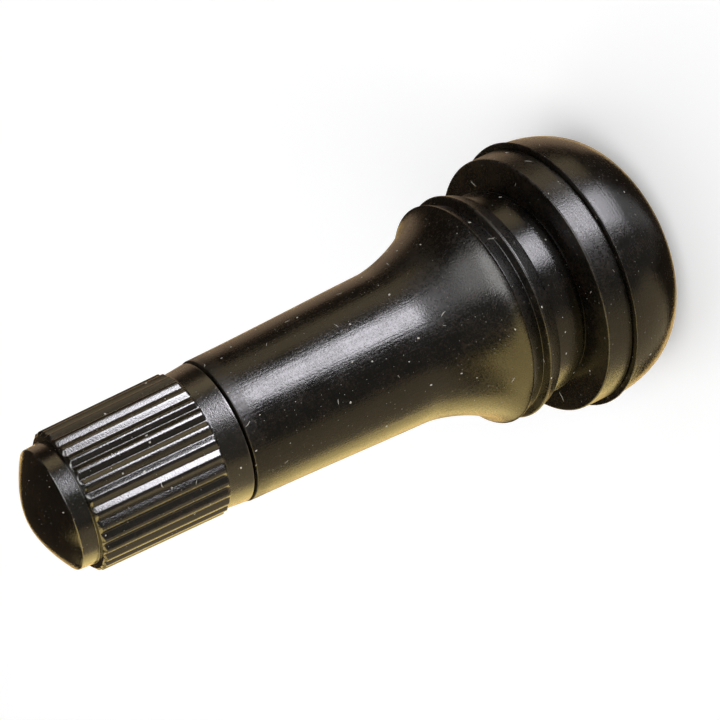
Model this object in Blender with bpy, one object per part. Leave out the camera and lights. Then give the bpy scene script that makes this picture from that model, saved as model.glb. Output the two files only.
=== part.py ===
"""Snap-in rubber tyre valve, with its brass barrel, its screw-in core and its ribbed cap.

The valve stands on the flat of its rubber head. The origin is the centre of that flat and +Z
runs up the valve's axis towards the cap. Sizes are in metres. Sizes are worked out from the
pin outwards and from the flat upwards, so that each piece follows the piece that it fits.
"""

import math

import bmesh
import bpy

# Clearances between pieces that touch
FIT_GAP = 0.0003
CORE_GAP = 0.00015

# Rubber head, from the flat up to its flange face
BASE_FLAT_RADIUS = 0.0052
BUTTON_RADIUS = 0.00955
BUTTON_HEIGHT = 0.0060
BUTTON_FULLNESS = 2.25
MOULD_LINE_HEIGHT = 0.0002
MOULD_LINE_WIDTH = 0.00012
BAND_STEP = 0.00012
BAND_HEIGHT = 0.0020
BAND_DRAFT = 0.0001
BAND_ROUNDING = 0.0003

# Rim groove and the ring above it
FLANGE_DEPTH = 0.00213
GROOVE_WIDTH = 0.0033
GROOVE_FILLET = 0.0008
RING_HEIGHT = 0.00085
RING_WIDTH = 0.0010
RING_LINE_DEPTH = 0.0001
V_GROOVE_DEPTH = 0.0003
V_GROOVE_WIDTH = 0.0008
FLARE_EDGE_DROP = 0.0002

# Flare and stem of the rubber body
FLARE_LENGTH = 0.0059
FLARE_END_REACH = 0.00075
FLARE_END_FALL = 0.0012
FLARE_STEM_REACH = 0.0018
STEM_LENGTH = 0.01345
STEM_TAPER = 0.00053
STEM_WALL = 0.00108
CHANNEL_RADIUS = 0.0023
CHANNEL_LEAD = 0.0009
CHANNEL_LEAD_HEIGHT = 0.0016

# Brass barrel
BARREL_FOOT_ABOVE_FLANGE = 0.0010
BARREL_FOOT_HEIGHT = 0.0014
BARREL_FOOT_WIDTH = 0.0011
BARREL_WALL = 0.00092
BARREL_RELIEF = 0.00012
THREAD_LENGTH = 0.01005
THREAD_START = 0.0006
BARREL_CHAMFER = 0.00045
BORE_CHAMFER = 0.00015
CORE_THREAD_DEPTH = 0.0056
CORE_SEAT_STEP = 0.00065
CORE_SEAT_LENGTH = 0.0015

# Core: pin, spring, plug, barrel, gasket and plunger
PIN_RADIUS = 0.00042
PIN_RECESS = 0.0003
PIN_TRAVEL = 0.0014
PIN_COLLAR_HEIGHT = 0.0004
PIN_TAIL_HEIGHT = 0.0003
PIN_TAIL_WIDTH = 0.0003
PIN_PLAY = 0.00028
SPRING_WIRE = 0.00022
SPRING_PLAY = 0.00027
SPRING_TURNS = 5
SPRING_LENGTH = 0.0031
CORE_BARREL_WALL = 0.00055
CORE_SHELF = 0.0008
CORE_HEAD_HEIGHT = 0.0002
CORE_HEAD_WIDTH = 0.00055
CORE_NECK_DEPTH = 0.0002
CORE_NECK_HEIGHT = 0.0015
PLUG_HEIGHT = 0.00245
PLUG_WALL = 0.00095
BRIDGE_WIDTH = 0.0019
BRIDGE_SINK = 0.0006
BRIDGE_INSET = 0.0003
PLUNGER_SEAL_HEIGHT = 0.0007
PLUNGER_SEAL_WIDTH = 0.00058
PLUNGER_CUP_WALL = 0.0002
PLUNGER_CUP_FLOOR = 0.00045
PLUNGER_CUP_HEIGHT = 0.00085

# Cap and its seal
CAP_MOUTH_WALL = 0.0009
CAP_COLLAR_WALL = 0.0007
CAP_COLLAR_LENGTH = 0.00155
CAP_LEAD_WIDTH = 0.0003
CAP_LEAD_HEIGHT = 0.0006
RIB_COUNT = 31
RIB_HEIGHT = 0.0002
RIB_LAND_SHARE = 0.26
RIB_END_SLOPE = 0.00012
RIB_ROOT_WALL_REAR = 0.00077
RIB_ROOT_WALL_FRONT = 0.00057
RIB_END_ABOVE_BARREL = 0.00065
SEAL_THICKNESS = 0.0007
CAP_BAND_WALL = 0.00068
CAP_EDGE_WALL = 0.00035
CAP_EDGE_ABOVE_SEAL = 0.0007
CAP_DOME_RISE = 0.0016
CAP_DOME_FULLNESS = 1.4

# Facets round each turned piece
BODY_FACETS = 40
CORE_FACETS = 18
WIRE_STEPS_PER_TURN = 12
WELD = 1e-7

# Heights, from the flat upwards
flange_z = BUTTON_HEIGHT + BAND_HEIGHT
ring_z = flange_z + GROOVE_WIDTH
flare_z = ring_z + RING_WIDTH + V_GROOVE_WIDTH
stem_z = flare_z + FLARE_LENGTH
mouth_z = stem_z + STEM_LENGTH
barrel_foot_z = flange_z + BARREL_FOOT_ABOVE_FLANGE
barrel_top_z = mouth_z + THREAD_LENGTH
core_seat_z = barrel_top_z - CORE_THREAD_DEPTH
core_head_z = core_seat_z
plug_z = core_head_z + CORE_GAP
plug_rim_z = plug_z + PLUG_HEIGHT
pin_top_z = barrel_top_z - PIN_RECESS
bridge_top_z = pin_top_z - PIN_TRAVEL
core_neck_z = core_head_z - CORE_HEAD_HEIGHT
pin_collar_z = core_neck_z - PIN_COLLAR_HEIGHT - FIT_GAP
spring_z = pin_collar_z - CORE_GAP - SPRING_LENGTH
core_shelf_z = spring_z - CORE_GAP
core_bottom_z = core_shelf_z - CORE_SHELF
plunger_seal_z = core_bottom_z - CORE_GAP - PLUNGER_SEAL_HEIGHT
plunger_cup_z = plunger_seal_z - CORE_GAP - PLUNGER_CUP_FLOOR
pin_bottom_z = plunger_cup_z - CORE_GAP - PIN_TAIL_HEIGHT
cap_z = mouth_z + FIT_GAP
cap_collar_z = cap_z + CAP_COLLAR_LENGTH
cap_shoulder_z = barrel_top_z + FIT_GAP
rib_end_z = barrel_top_z + RIB_END_ABOVE_BARREL
seal_top_z = cap_shoulder_z + SEAL_THICKNESS
cap_ceiling_z = seal_top_z + FIT_GAP
cap_edge_z = seal_top_z + CAP_EDGE_ABOVE_SEAL
cap_top_z = cap_edge_z + CAP_DOME_RISE

# Radii, from the pin outwards
pin_hole_r = PIN_RADIUS + PIN_PLAY
spring_r = PIN_RADIUS + SPRING_PLAY + SPRING_WIRE / 2
core_bore_r = spring_r + SPRING_WIRE / 2 + SPRING_PLAY
core_barrel_r = core_bore_r + CORE_BARREL_WALL
core_neck_r = core_barrel_r - CORE_NECK_DEPTH
lower_bore_r = core_barrel_r + FIT_GAP
core_thread_bore_r = lower_bore_r + CORE_SEAT_STEP
plug_r = core_thread_bore_r - FIT_GAP
plug_bore_r = plug_r - PLUG_WALL
thread_r = core_thread_bore_r + BARREL_WALL
barrel_mouth_r = thread_r - BARREL_CHAMFER
shank_r = thread_r - BARREL_RELIEF
barrel_foot_r = shank_r + BARREL_FOOT_WIDTH
stem_bore_r = shank_r + FIT_GAP
mouth_r = stem_bore_r + STEM_WALL
stem_root_r = mouth_r + STEM_TAPER
band_r = BUTTON_RADIUS - BAND_STEP
groove_r = band_r - FLANGE_DEPTH
ring_r = groove_r + RING_HEIGHT
flare_edge_r = ring_r - FLARE_EDGE_DROP
cap_bore_r = thread_r + FIT_GAP
cap_chamber_r = barrel_mouth_r + FIT_GAP


def clear_scene():
    """Remove every object that the file holds."""
    for old in list(bpy.data.objects):
        bpy.data.objects.remove(old)


def material(name, color, roughness, metallic=0.0):
    """A Principled material of one colour."""
    made = bpy.data.materials.new(name)
    made.use_nodes = True
    shader = made.node_tree.nodes["Principled BSDF"]
    shader.inputs["Base Color"].default_value = (*color, 1.0)
    shader.inputs["Roughness"].default_value = roughness
    shader.inputs["Metallic"].default_value = metallic
    made.diffuse_color = (*color, 1.0)
    return made


def make_object(name, mesh, height, parent):
    """An object on the valve's axis at that height, parented to the valve's empty."""
    made = bpy.data.objects.new(name, mesh)
    bpy.context.scene.collection.objects.link(made)
    made.location = (0.0, 0.0, height)
    made.parent = parent
    return made


def finish_mesh(bm, name, finish):
    """Weld, turn the faces outwards, and shade the round faces smooth."""
    bmesh.ops.remove_doubles(bm, verts=bm.verts[:], dist=WELD)
    bmesh.ops.recalc_face_normals(bm, faces=bm.faces[:])
    mesh = bpy.data.meshes.new(name)
    bm.to_mesh(mesh)
    bm.free()
    mesh.shade_smooth()
    mesh.set_sharp_from_angle(angle=math.radians(28))
    mesh.materials.append(finish)
    return mesh


def turned(name, outline, height, facets, finish, parent):
    """Spin an outline of (radius, height) points about Z.

    The outline closes on itself, or starts and ends on the axis.
    """
    bm = bmesh.new()
    points = [bm.verts.new((radius, 0.0, z - height)) for radius, z in outline]
    edges = [bm.edges.new(pair) for pair in zip(points, points[1:])]
    if outline[0][0] > 0.0:
        edges.append(bm.edges.new((points[-1], points[0])))
    bmesh.ops.spin(
        bm,
        geom=points + edges,
        cent=(0.0, 0.0, 0.0),
        axis=(0.0, 0.0, 1.0),
        angle=math.tau,
        steps=facets,
        use_merge=True,
    )
    return make_object(name, finish_mesh(bm, name, finish), height, parent)


def rounded_end(r_flat, r_side, z_flat, z_side, fullness, count):
    """Points of a rounded end: a superellipse quarter from its flat to its side.

    With the angle a from 0 to a right angle, the radius grows from r_flat by
    sin(a) ** (2 / fullness), and the height runs from z_flat by 1 - cos(a) ** (2 / fullness).
    """
    power = 2.0 / fullness
    points = []
    for i in range(count + 1):
        a = math.pi / 2 * i / count
        across = math.sin(a) ** power
        along = 1.0 - math.cos(a) ** power if i < count else 1.0
        points.append((r_flat + (r_side - r_flat) * across, z_flat + (z_side - z_flat) * along))
    return points


def bezier(p0, p1, p2, p3, count):
    """Points on a cubic Bezier curve, with both of its ends."""
    points = []
    for i in range(count + 1):
        t = i / count
        s = 1.0 - t
        weights = (s**3, 3 * s * s * t, 3 * s * t * t, t**3)
        points.append(
            tuple(sum(w * p[k] for w, p in zip(weights, (p0, p1, p2, p3))) for k in (0, 1))
        )
    return points


def fillet(corner_r, corner_z, size, count):
    """A concave quarter round from a flat face above corner_r down to an upright wall."""
    points = []
    for i in range(count + 1):
        a = math.pi / 2 * i / count
        points.append((corner_r + size * (1 - math.sin(a)), corner_z + size * (1 - math.cos(a))))
    return points


def rubber_outline():
    """Outline of the moulded rubber: head, rim groove, ring, flare, stem and inner channel."""
    head = rounded_end(BASE_FLAT_RADIUS, BUTTON_RADIUS, 0.0, BUTTON_HEIGHT, BUTTON_FULLNESS, 7)
    line_r = BUTTON_RADIUS + MOULD_LINE_HEIGHT
    band_top_r = band_r - BAND_DRAFT
    round_mid = BAND_ROUNDING * (1 - math.cos(math.pi / 4))
    edge = [
        (line_r, BUTTON_HEIGHT),
        (line_r, BUTTON_HEIGHT + MOULD_LINE_WIDTH),
        (band_r, BUTTON_HEIGHT + MOULD_LINE_WIDTH),
        (band_top_r, flange_z - BAND_ROUNDING),
        (band_top_r - round_mid, flange_z - round_mid),
        (band_top_r - BAND_ROUNDING, flange_z),
    ]
    size = min(GROOVE_FILLET, FLANGE_DEPTH / 2, GROOVE_WIDTH / 3)
    groove = fillet(groove_r, flange_z, size, 3)
    ramp_z = flange_z + GROOVE_WIDTH / 2
    ring_mid_z = ring_z + RING_WIDTH / 3
    ring = [
        (groove_r, ramp_z),
        (groove_r + RING_HEIGHT / 3, ramp_z + GROOVE_WIDTH / 4),
        (ring_r, ring_z),
        (ring_r - RING_LINE_DEPTH, ring_mid_z),
        (ring_r - RING_LINE_DEPTH, ring_z + RING_WIDTH),
        (ring_r - RING_LINE_DEPTH - V_GROOVE_DEPTH, flare_z - V_GROOVE_WIDTH / 2),
    ]
    flare = bezier(
        (flare_edge_r, flare_z),
        (flare_edge_r - FLARE_END_FALL, flare_z + FLARE_END_REACH),
        (stem_root_r + STEM_TAPER / STEM_LENGTH * FLARE_STEM_REACH, stem_z - FLARE_STEM_REACH),
        (stem_root_r, stem_z),
        7,
    )
    foot_top_z = barrel_foot_z + BARREL_FOOT_HEIGHT + FIT_GAP
    inside = [
        (mouth_r, mouth_z),
        (stem_bore_r, mouth_z),
        (stem_bore_r, foot_top_z),
        (barrel_foot_r + FIT_GAP, foot_top_z),
        (barrel_foot_r + FIT_GAP, barrel_foot_z - FIT_GAP),
        (CHANNEL_RADIUS, barrel_foot_z - FIT_GAP),
        (CHANNEL_RADIUS, CHANNEL_LEAD_HEIGHT),
        (CHANNEL_RADIUS + CHANNEL_LEAD, 0.0),
    ]
    return head + edge + groove + ring + flare + inside


def barrel_outline():
    """Outline of the brass barrel: foot, shank, plain thread stretch, mouth, seat and bore."""
    thread_z = mouth_z + THREAD_START
    foot_top_z = barrel_foot_z + BARREL_FOOT_HEIGHT
    return [
        (barrel_foot_r, barrel_foot_z),
        (barrel_foot_r, foot_top_z),
        (shank_r, foot_top_z),
        (shank_r, thread_z),
        (thread_r, thread_z + BARREL_RELIEF),
        (thread_r, barrel_top_z - BARREL_CHAMFER),
        (barrel_mouth_r, barrel_top_z),
        (core_thread_bore_r + BORE_CHAMFER, barrel_top_z),
        (core_thread_bore_r, barrel_top_z - BORE_CHAMFER),
        (core_thread_bore_r, core_seat_z),
        (lower_bore_r, core_seat_z - CORE_SEAT_LENGTH),
        (lower_bore_r, barrel_foot_z),
    ]


def core_barrel_outline():
    """Outline of the core's inner tube: plain tube, neck for the gasket, head and shelf."""
    head_r = core_neck_r + CORE_HEAD_WIDTH
    neck_foot_z = core_neck_z - CORE_NECK_HEIGHT
    return [
        (core_barrel_r, core_bottom_z),
        (core_barrel_r, neck_foot_z),
        (core_neck_r, neck_foot_z),
        (core_neck_r, core_neck_z),
        (head_r, core_neck_z),
        (head_r, core_head_z),
        (core_bore_r, core_head_z),
        (core_bore_r, core_shelf_z),
        (pin_hole_r, core_shelf_z),
        (pin_hole_r, core_bottom_z),
    ]


def gasket_outline():
    """Outline of the gasket: a ring on the core's neck, coned like the seat that it closes."""
    slope = CORE_SEAT_STEP / CORE_SEAT_LENGTH
    top_z = core_neck_z - CORE_GAP
    low_z = core_neck_z - CORE_NECK_HEIGHT + CORE_GAP
    inner_r = core_neck_r + CORE_GAP
    side_gap = CORE_GAP * math.hypot(1.0, slope)
    top_r = core_thread_bore_r - (core_seat_z - top_z) * slope - side_gap
    low_r = core_thread_bore_r - (core_seat_z - low_z) * slope - side_gap
    return [(inner_r, low_z), (low_r, low_z), (top_r, top_z), (inner_r, top_z)]


def pin_outline():
    """Outline of the pin: tail head, shank, spring collar and the end that is pressed."""
    tip = PIN_RADIUS / 2
    tail_top_z = pin_bottom_z + PIN_TAIL_HEIGHT
    collar_r = spring_r + SPRING_WIRE / 2
    collar_top_z = pin_collar_z + PIN_COLLAR_HEIGHT
    return [
        (0.0, pin_bottom_z),
        (PIN_RADIUS + PIN_TAIL_WIDTH, pin_bottom_z),
        (PIN_RADIUS + PIN_TAIL_WIDTH, tail_top_z),
        (PIN_RADIUS, tail_top_z),
        (PIN_RADIUS, pin_collar_z),
        (collar_r, pin_collar_z),
        (collar_r, collar_top_z),
        (PIN_RADIUS, collar_top_z),
        (PIN_RADIUS, pin_top_z - tip),
        (PIN_RADIUS - tip, pin_top_z),
        (0.0, pin_top_z),
    ]


def plunger_seal_outline():
    """Outline of the ring of rubber that closes the core's lower end."""
    inner_r = PIN_RADIUS + CORE_GAP
    outer_r = inner_r + PLUNGER_SEAL_WIDTH
    top_z = plunger_seal_z + PLUNGER_SEAL_HEIGHT
    return [(inner_r, plunger_seal_z), (outer_r, plunger_seal_z), (outer_r, top_z), (inner_r, top_z)]


def plunger_cup_outline():
    """Outline of the metal cup that holds the plunger's seal."""
    hole_r = PIN_RADIUS + CORE_GAP
    inner_r = hole_r + PLUNGER_SEAL_WIDTH + CORE_GAP
    outer_r = inner_r + PLUNGER_CUP_WALL
    floor_z = plunger_cup_z + PLUNGER_CUP_FLOOR
    top_z = plunger_cup_z + PLUNGER_CUP_HEIGHT
    return [
        (hole_r, plunger_cup_z),
        (outer_r, plunger_cup_z),
        (outer_r, top_z),
        (inner_r, top_z),
        (inner_r, floor_z),
        (hole_r, floor_z),
    ]


def cap_seal_outline():
    """Outline of the flat seal under the cap's end."""
    return [
        (0.0, cap_shoulder_z),
        (barrel_mouth_r, cap_shoulder_z),
        (barrel_mouth_r, seal_top_z),
        (0.0, seal_top_z),
    ]


def cutter(name, mesh, height, parent):
    """A helper shape for a Boolean, shown as wire and left out of the render."""
    made = make_object(name, mesh, height, parent)
    made.hide_render = True
    made.display_type = "WIRE"
    return made


def add_boolean(target, tool, operation):
    """Add an exact Boolean of the tool to the target."""
    cut = target.modifiers.new(operation.lower(), "BOOLEAN")
    cut.operation = operation
    cut.solver = "EXACT"
    cut.object = tool


def build_core_plug(finish, parent):
    """The core's screw plug: a ring with a bar across it, which the pin passes through."""
    outline = [
        (plug_r, plug_z),
        (plug_r, plug_rim_z),
        (plug_bore_r, plug_rim_z),
        (plug_bore_r, plug_z),
    ]
    plug = turned("core_plug", outline, plug_z, CORE_FACETS * 2, finish, parent)
    bar_foot_z = plug_rim_z - BRIDGE_SINK
    bar_height = bridge_top_z - bar_foot_z
    bar_length = 2 * (math.sqrt(plug_r**2 - (BRIDGE_WIDTH / 2) ** 2) - BRIDGE_INSET)
    bm = bmesh.new()
    bmesh.ops.create_cube(bm, size=1.0)
    bmesh.ops.scale(bm, vec=(bar_length, BRIDGE_WIDTH, bar_height), verts=bm.verts[:])
    bar_z = bar_foot_z + bar_height / 2
    bar = cutter("plug_bar", finish_mesh(bm, "plug_bar", finish), bar_z, parent)
    add_boolean(plug, bar, "UNION")
    bm = bmesh.new()
    bmesh.ops.create_cone(
        bm,
        cap_ends=True,
        segments=CORE_FACETS,
        radius1=pin_hole_r,
        radius2=pin_hole_r,
        depth=3 * bar_height,
    )
    hole = cutter("plug_pin_hole", finish_mesh(bm, "plug_pin_hole", finish), bar_z, parent)
    add_boolean(plug, hole, "DIFFERENCE")
    return plug


def build_core_spring(finish, parent):
    """The core's spring: a helix of round wire between the shelf and the pin's collar."""
    curve = bpy.data.curves.new("core_spring", "CURVE")
    curve.dimensions = "3D"
    curve.bevel_depth = SPRING_WIRE / 2
    curve.bevel_resolution = 1
    curve.use_fill_caps = True
    steps = SPRING_TURNS * WIRE_STEPS_PER_TURN
    rise = SPRING_LENGTH - SPRING_WIRE
    line = curve.splines.new("POLY")
    line.points.add(steps)
    for i, point in enumerate(line.points):
        a = math.tau * i / WIRE_STEPS_PER_TURN
        z = SPRING_WIRE / 2 + rise * i / steps
        point.co = (spring_r * math.cos(a), spring_r * math.sin(a), z, 1.0)
    curve.materials.append(finish)
    return make_object("core_spring", curve, spring_z, parent)


def rib_loop(bm, root_r, height, rise):
    """One loop of points round the cap: three for each rib, its groove and its land's two edges."""
    pitch = math.tau / RIB_COUNT
    half_land = pitch * RIB_LAND_SHARE / 2
    loop = []
    for i in range(RIB_COUNT):
        middle = pitch * i
        for angle, lift in (
            (middle - pitch / 2, 0.0),
            (middle - half_land, rise),
            (middle + half_land, rise),
        ):
            r = root_r + lift
            loop.append(bm.verts.new((r * math.cos(angle), r * math.sin(angle), height - cap_z)))
    return loop


def skin(bm, low, high):
    """Join two loops of the same length with a band of faces."""
    for i, point in enumerate(low):
        j = (i + 1) % len(low)
        bm.faces.new((point, low[j], high[j], high[i]))


def build_cap(finish, parent):
    """The screw cap: plain collar, straight ribs, plain band and a low dome, bored for the barrel."""
    rear_r = cap_bore_r + RIB_ROOT_WALL_REAR
    front_r = cap_bore_r + RIB_ROOT_WALL_FRONT
    lead_r = cap_bore_r + CAP_LEAD_WIDTH
    edge_r = cap_chamber_r + CAP_EDGE_WALL
    dome = rounded_end(0.0, edge_r, cap_top_z, cap_edge_z, CAP_DOME_FULLNESS, 4)
    stations = [
        (cap_bore_r, cap_z + CAP_LEAD_HEIGHT + CAP_LEAD_WIDTH, 0.0),
        (lead_r, cap_z + CAP_LEAD_HEIGHT, 0.0),
        (lead_r, cap_z, 0.0),
        (cap_bore_r + CAP_MOUTH_WALL, cap_z, 0.0),
        (cap_bore_r + CAP_COLLAR_WALL, cap_collar_z, 0.0),
        (rear_r, cap_collar_z, 0.0),
        (rear_r, cap_collar_z + RIB_END_SLOPE, RIB_HEIGHT),
        (front_r, rib_end_z - RIB_END_SLOPE, RIB_HEIGHT),
        (front_r, rib_end_z, 0.0),
        (cap_chamber_r + CAP_BAND_WALL, rib_end_z, 0.0),
    ]
    stations += [(r, z, 0.0) for r, z in reversed(dome[1:])]
    bm = bmesh.new()
    loops = [rib_loop(bm, r, z, rise) for r, z, rise in stations]
    tip = bm.verts.new((0.0, 0.0, cap_top_z - cap_z))
    last = loops[-1]
    for i, point in enumerate(last):
        bm.faces.new((point, last[(i + 1) % len(last)], tip))
    inner = [
        (cap_bore_r, cap_shoulder_z, 0.0),
        (cap_chamber_r, cap_shoulder_z, 0.0),
        (cap_chamber_r, cap_ceiling_z, 0.0),
    ]
    inside = [loops[0]] + [rib_loop(bm, r, z, rise) for r, z, rise in inner]
    bm.faces.new(inside[-1])
    for low, high in list(zip(loops, loops[1:])) + list(zip(inside, inside[1:])):
        skin(bm, low, high)
    return make_object("cap", finish_mesh(bm, "cap", finish), cap_z, parent)


def main():
    """Build the whole valve."""
    clear_scene()
    rubber = material("rubber", (0.022, 0.020, 0.018), 0.42)
    plastic = material("cap_plastic", (0.020, 0.019, 0.018), 0.36)
    brass = material("brass", (0.72, 0.52, 0.22), 0.30, 1.0)
    steel = material("steel", (0.62, 0.62, 0.63), 0.28, 1.0)
    seal = material("seal_rubber", (0.05, 0.05, 0.05), 0.65)
    gasket = material("gasket", (0.62, 0.10, 0.07), 0.50)

    valve = bpy.data.objects.new("valve_frame", None)
    bpy.context.scene.collection.objects.link(valve)
    core = bpy.data.objects.new("core_frame", None)
    bpy.context.scene.collection.objects.link(core)
    core.parent = valve

    turned("rubber_body", rubber_outline(), 0.0, BODY_FACETS, rubber, valve)
    turned("barrel", barrel_outline(), barrel_foot_z, BODY_FACETS, brass, valve)
    build_core_plug(brass, core)
    turned("core_barrel", core_barrel_outline(), core_bottom_z, CORE_FACETS, brass, core)
    turned("core_gasket", gasket_outline(), core_neck_z, CORE_FACETS, gasket, core)
    turned("core_pin", pin_outline(), pin_bottom_z, CORE_FACETS, steel, core)
    build_core_spring(steel, core)
    turned("plunger_cup", plunger_cup_outline(), plunger_cup_z, CORE_FACETS, brass, core)
    turned("plunger_seal", plunger_seal_outline(), plunger_seal_z, CORE_FACETS, seal, core)
    turned("cap_seal", cap_seal_outline(), cap_shoulder_z, BODY_FACETS, seal, valve)
    build_cap(plastic, valve)


main()
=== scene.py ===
"""Snap-in tyre valve, dressed for its picture.

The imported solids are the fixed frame. Each piece here is a fine surface that stands for one solid,
worked out with numpy as a function of two parameters. Sizes are in metres. The valve's axis is +Z,
and its head stands on the floor at the origin.
"""

import bmesh
import bpy
import numpy as np
from mathutils import Matrix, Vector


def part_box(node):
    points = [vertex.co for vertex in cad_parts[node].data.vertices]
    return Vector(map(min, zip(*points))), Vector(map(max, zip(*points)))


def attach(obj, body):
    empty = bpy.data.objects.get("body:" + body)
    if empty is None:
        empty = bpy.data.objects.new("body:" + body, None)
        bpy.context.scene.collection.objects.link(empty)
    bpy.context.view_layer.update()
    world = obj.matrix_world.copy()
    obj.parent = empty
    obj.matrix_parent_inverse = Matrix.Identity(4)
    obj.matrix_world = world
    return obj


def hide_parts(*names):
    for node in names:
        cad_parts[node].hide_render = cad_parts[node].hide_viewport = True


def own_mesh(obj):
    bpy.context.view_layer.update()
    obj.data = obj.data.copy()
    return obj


bl_info = {
    "name": "Tyre Valve Maker",
    "version": (1, 0, 0),
    "blender": (4, 5, 0),
    "location": "3D View > Sidebar > Valve",
    "description": "Builds the visible pieces of a snap-in tyre valve round its packed solids",
    "category": "Object",
}

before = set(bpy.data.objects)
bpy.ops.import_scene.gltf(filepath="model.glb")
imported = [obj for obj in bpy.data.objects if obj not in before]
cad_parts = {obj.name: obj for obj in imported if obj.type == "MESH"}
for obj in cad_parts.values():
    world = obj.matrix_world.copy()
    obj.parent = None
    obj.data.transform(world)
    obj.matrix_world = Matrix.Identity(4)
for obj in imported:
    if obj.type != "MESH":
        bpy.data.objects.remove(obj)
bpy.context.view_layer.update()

MM = 0.001
TAU = 2.0 * np.pi

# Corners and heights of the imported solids
head_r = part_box("rubber_body")[1].x
stem_mouth_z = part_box("rubber_body")[1].z
barrel_foot_z, barrel_top_z = (corner.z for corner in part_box("barrel"))
cap_top_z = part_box("cap")[1].z
plug_low, plug_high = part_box("core_plug")
tube_low, tube_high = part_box("core_barrel")
gasket_low, gasket_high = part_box("core_gasket")
pin_low, pin_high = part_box("core_pin")
spring_low, spring_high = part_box("core_spring")
cup_low, cup_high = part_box("plunger_cup")
plunger_low, plunger_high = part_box("plunger_seal")
seal_low, seal_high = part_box("cap_seal")

# Rubber head, groove, ring, flare and stem
BASE_FLAT_R = 5.20 * MM
DOME_R = 9.55 * MM
DOME_FULLNESS = 2.25
LIP_Z = 6.0 * MM
CRACK_R = 9.18 * MM
CRACK_RIPPLE = 0.028 * MM
RIPPLE_REACH = 0.15 * MM
BAND_R = 9.31 * MM
BAND_TOP_R = 9.27 * MM
FLANGE_Z = 8.0 * MM
GROOVE_R = 7.38 * MM
GROOVE_FOOT_R = 6.85 * MM
NECK_Z = 10.75 * MM
RING_R = 8.13 * MM
RING_EDGE_R = 7.76 * MM
V_GROOVE_Z = 12.08 * MM
V_GROOVE_R = 7.50 * MM
FLARE_R = 7.95 * MM
FLARE_Z = 13.10 * MM
STEM_ROOT_R = 5.39 * MM
STEM_ROOT_Z = 19.0 * MM
STEM_PULLS = ((5.26 * MM, 22.9 * MM), (4.97 * MM, 27.9 * MM))
MOUTH_R = 4.87 * MM
CHANNEL_R = 2.30 * MM
MOULD_GAP = 0.02 * MM

# Barrel and its threads
SHANK_R = 3.48 * MM
FOOT_R = 4.58 * MM
FOOT_HEIGHT = 1.40 * MM
THREAD_START_Z = 33.05 * MM
THREAD_FIRST_Z = THREAD_START_Z + 0.35 * MM
THREAD_ROOT_R = 3.42 * MM
THREAD_CREST_R = 3.85 * MM
THREAD_PITCH = 0.794 * MM
THREAD_CREST_WIDTH = 0.10 * MM
THREAD_SINK = 0.04 * MM
THREAD_FADE_TURNS = 0.33
BARREL_MOUTH_R = 3.15 * MM
CORE_THREAD_PITCH = 0.7056 * MM
CORE_BORE_R = 2.68 * MM
CORE_SEAT_Z = 36.90 * MM
CORE_SEAT_DEPTH = 1.5 * MM
CORE_THREAD_Z = CORE_SEAT_Z + 0.45 * MM
CORE_THREAD_DEPTH = 0.40 * MM
CORE_CREST_WIDTH = 0.09 * MM
LOWER_BORE_R = 2.03 * MM

# Core
PIN_R = 0.42 * MM
PIN_HEAD_R = 0.72 * MM
PIN_HEAD_HEIGHT = 0.3 * MM
PIN_HOLE_R = 0.70 * MM
TUBE_R = 1.73 * MM
TUBE_NECK_R = 1.53 * MM
TUBE_HEAD_R = 2.08 * MM
TUBE_BORE_R = 1.18 * MM
PLUG_ROOT_R = 2.20 * MM
PLUG_CREST_R = 2.60 * MM
PLUG_BORE_R = 1.43 * MM
PLUG_RIM_Z = 39.50 * MM
BRIDGE_HALF_LENGTH = 1.88 * MM
BRIDGE_HALF_WIDTH = 0.95 * MM
WIRE_R = 0.11 * MM
SPRING_TURNS = 5
SPRING_STEPS = 40
SPRING_END_SHARE = 0.13

# Cap
CAP_BOTTOM_Z = 32.60 * MM
COLLAR_TOP_Z = 34.30 * MM
COLLAR_R = 4.80 * MM
COLLAR_TOP_R = 4.62 * MM
RIB_ROOT_REAR_R = 4.67 * MM
RIB_ROOT_FRONT_R = 4.47 * MM
RIB_END_Z = 43.15 * MM
CAP_BAND_R = 4.09 * MM
CAP_EDGE_R = 4.02 * MM
CAP_EDGE_Z = 44.27 * MM
CAP_DOME_POWER = 1.75
CAP_BORE_R = 3.92 * MM
CAP_MOUTH_R = 4.24 * MM
CAP_THREAD_CREST_R = 3.52 * MM
CAP_CHAMBER_R = 3.40 * MM
CAP_SHOULDER_Z = 42.80 * MM
CAP_CEILING_Z = 43.70 * MM
SEAL_PAD_R = 2.55 * MM
SEAL_DISH_R = 2.70 * MM
SEAL_RIM_R = 3.00 * MM

# A rib's fade at its ends, the distances of its rows from them, and its two middle rows
RIB_FADE = 0.20 * MM
RIB_ROWS = np.array([0.06, 0.12, 0.18, 0.25]) * MM
RIB_MIDDLE = np.linspace(COLLAR_TOP_Z, 0.999 * RIB_END_Z, 4)[1:3]

# Steps of the grids and of rounded corners, and the sharpest turn that is shaded smooth
ROUND_STEPS = 240
MIDDLE_STEPS = 120
CORE_STEPS = 72
THREAD_STEPS = 72
ARC_STEP = 0.08 * MM
LONGEST_ARC = 0.45
HOLD = 0.05 * MM
EDGE_REACH = 0.25 * MM
SMOOTH_LIMIT = np.radians(38)
ON_AXIS = 1e-9

# Radius at which the dust and the streaks unroll the skin, how far the skin leans with the radius,
# and the radii up to which there is no dust and from which there is all of it
SKIN_R = 6.0 * MM
SKIN_LEAN = 0.7
BARE_R, DUSTY_R = 1.2 * MM, 2.5 * MM

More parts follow.
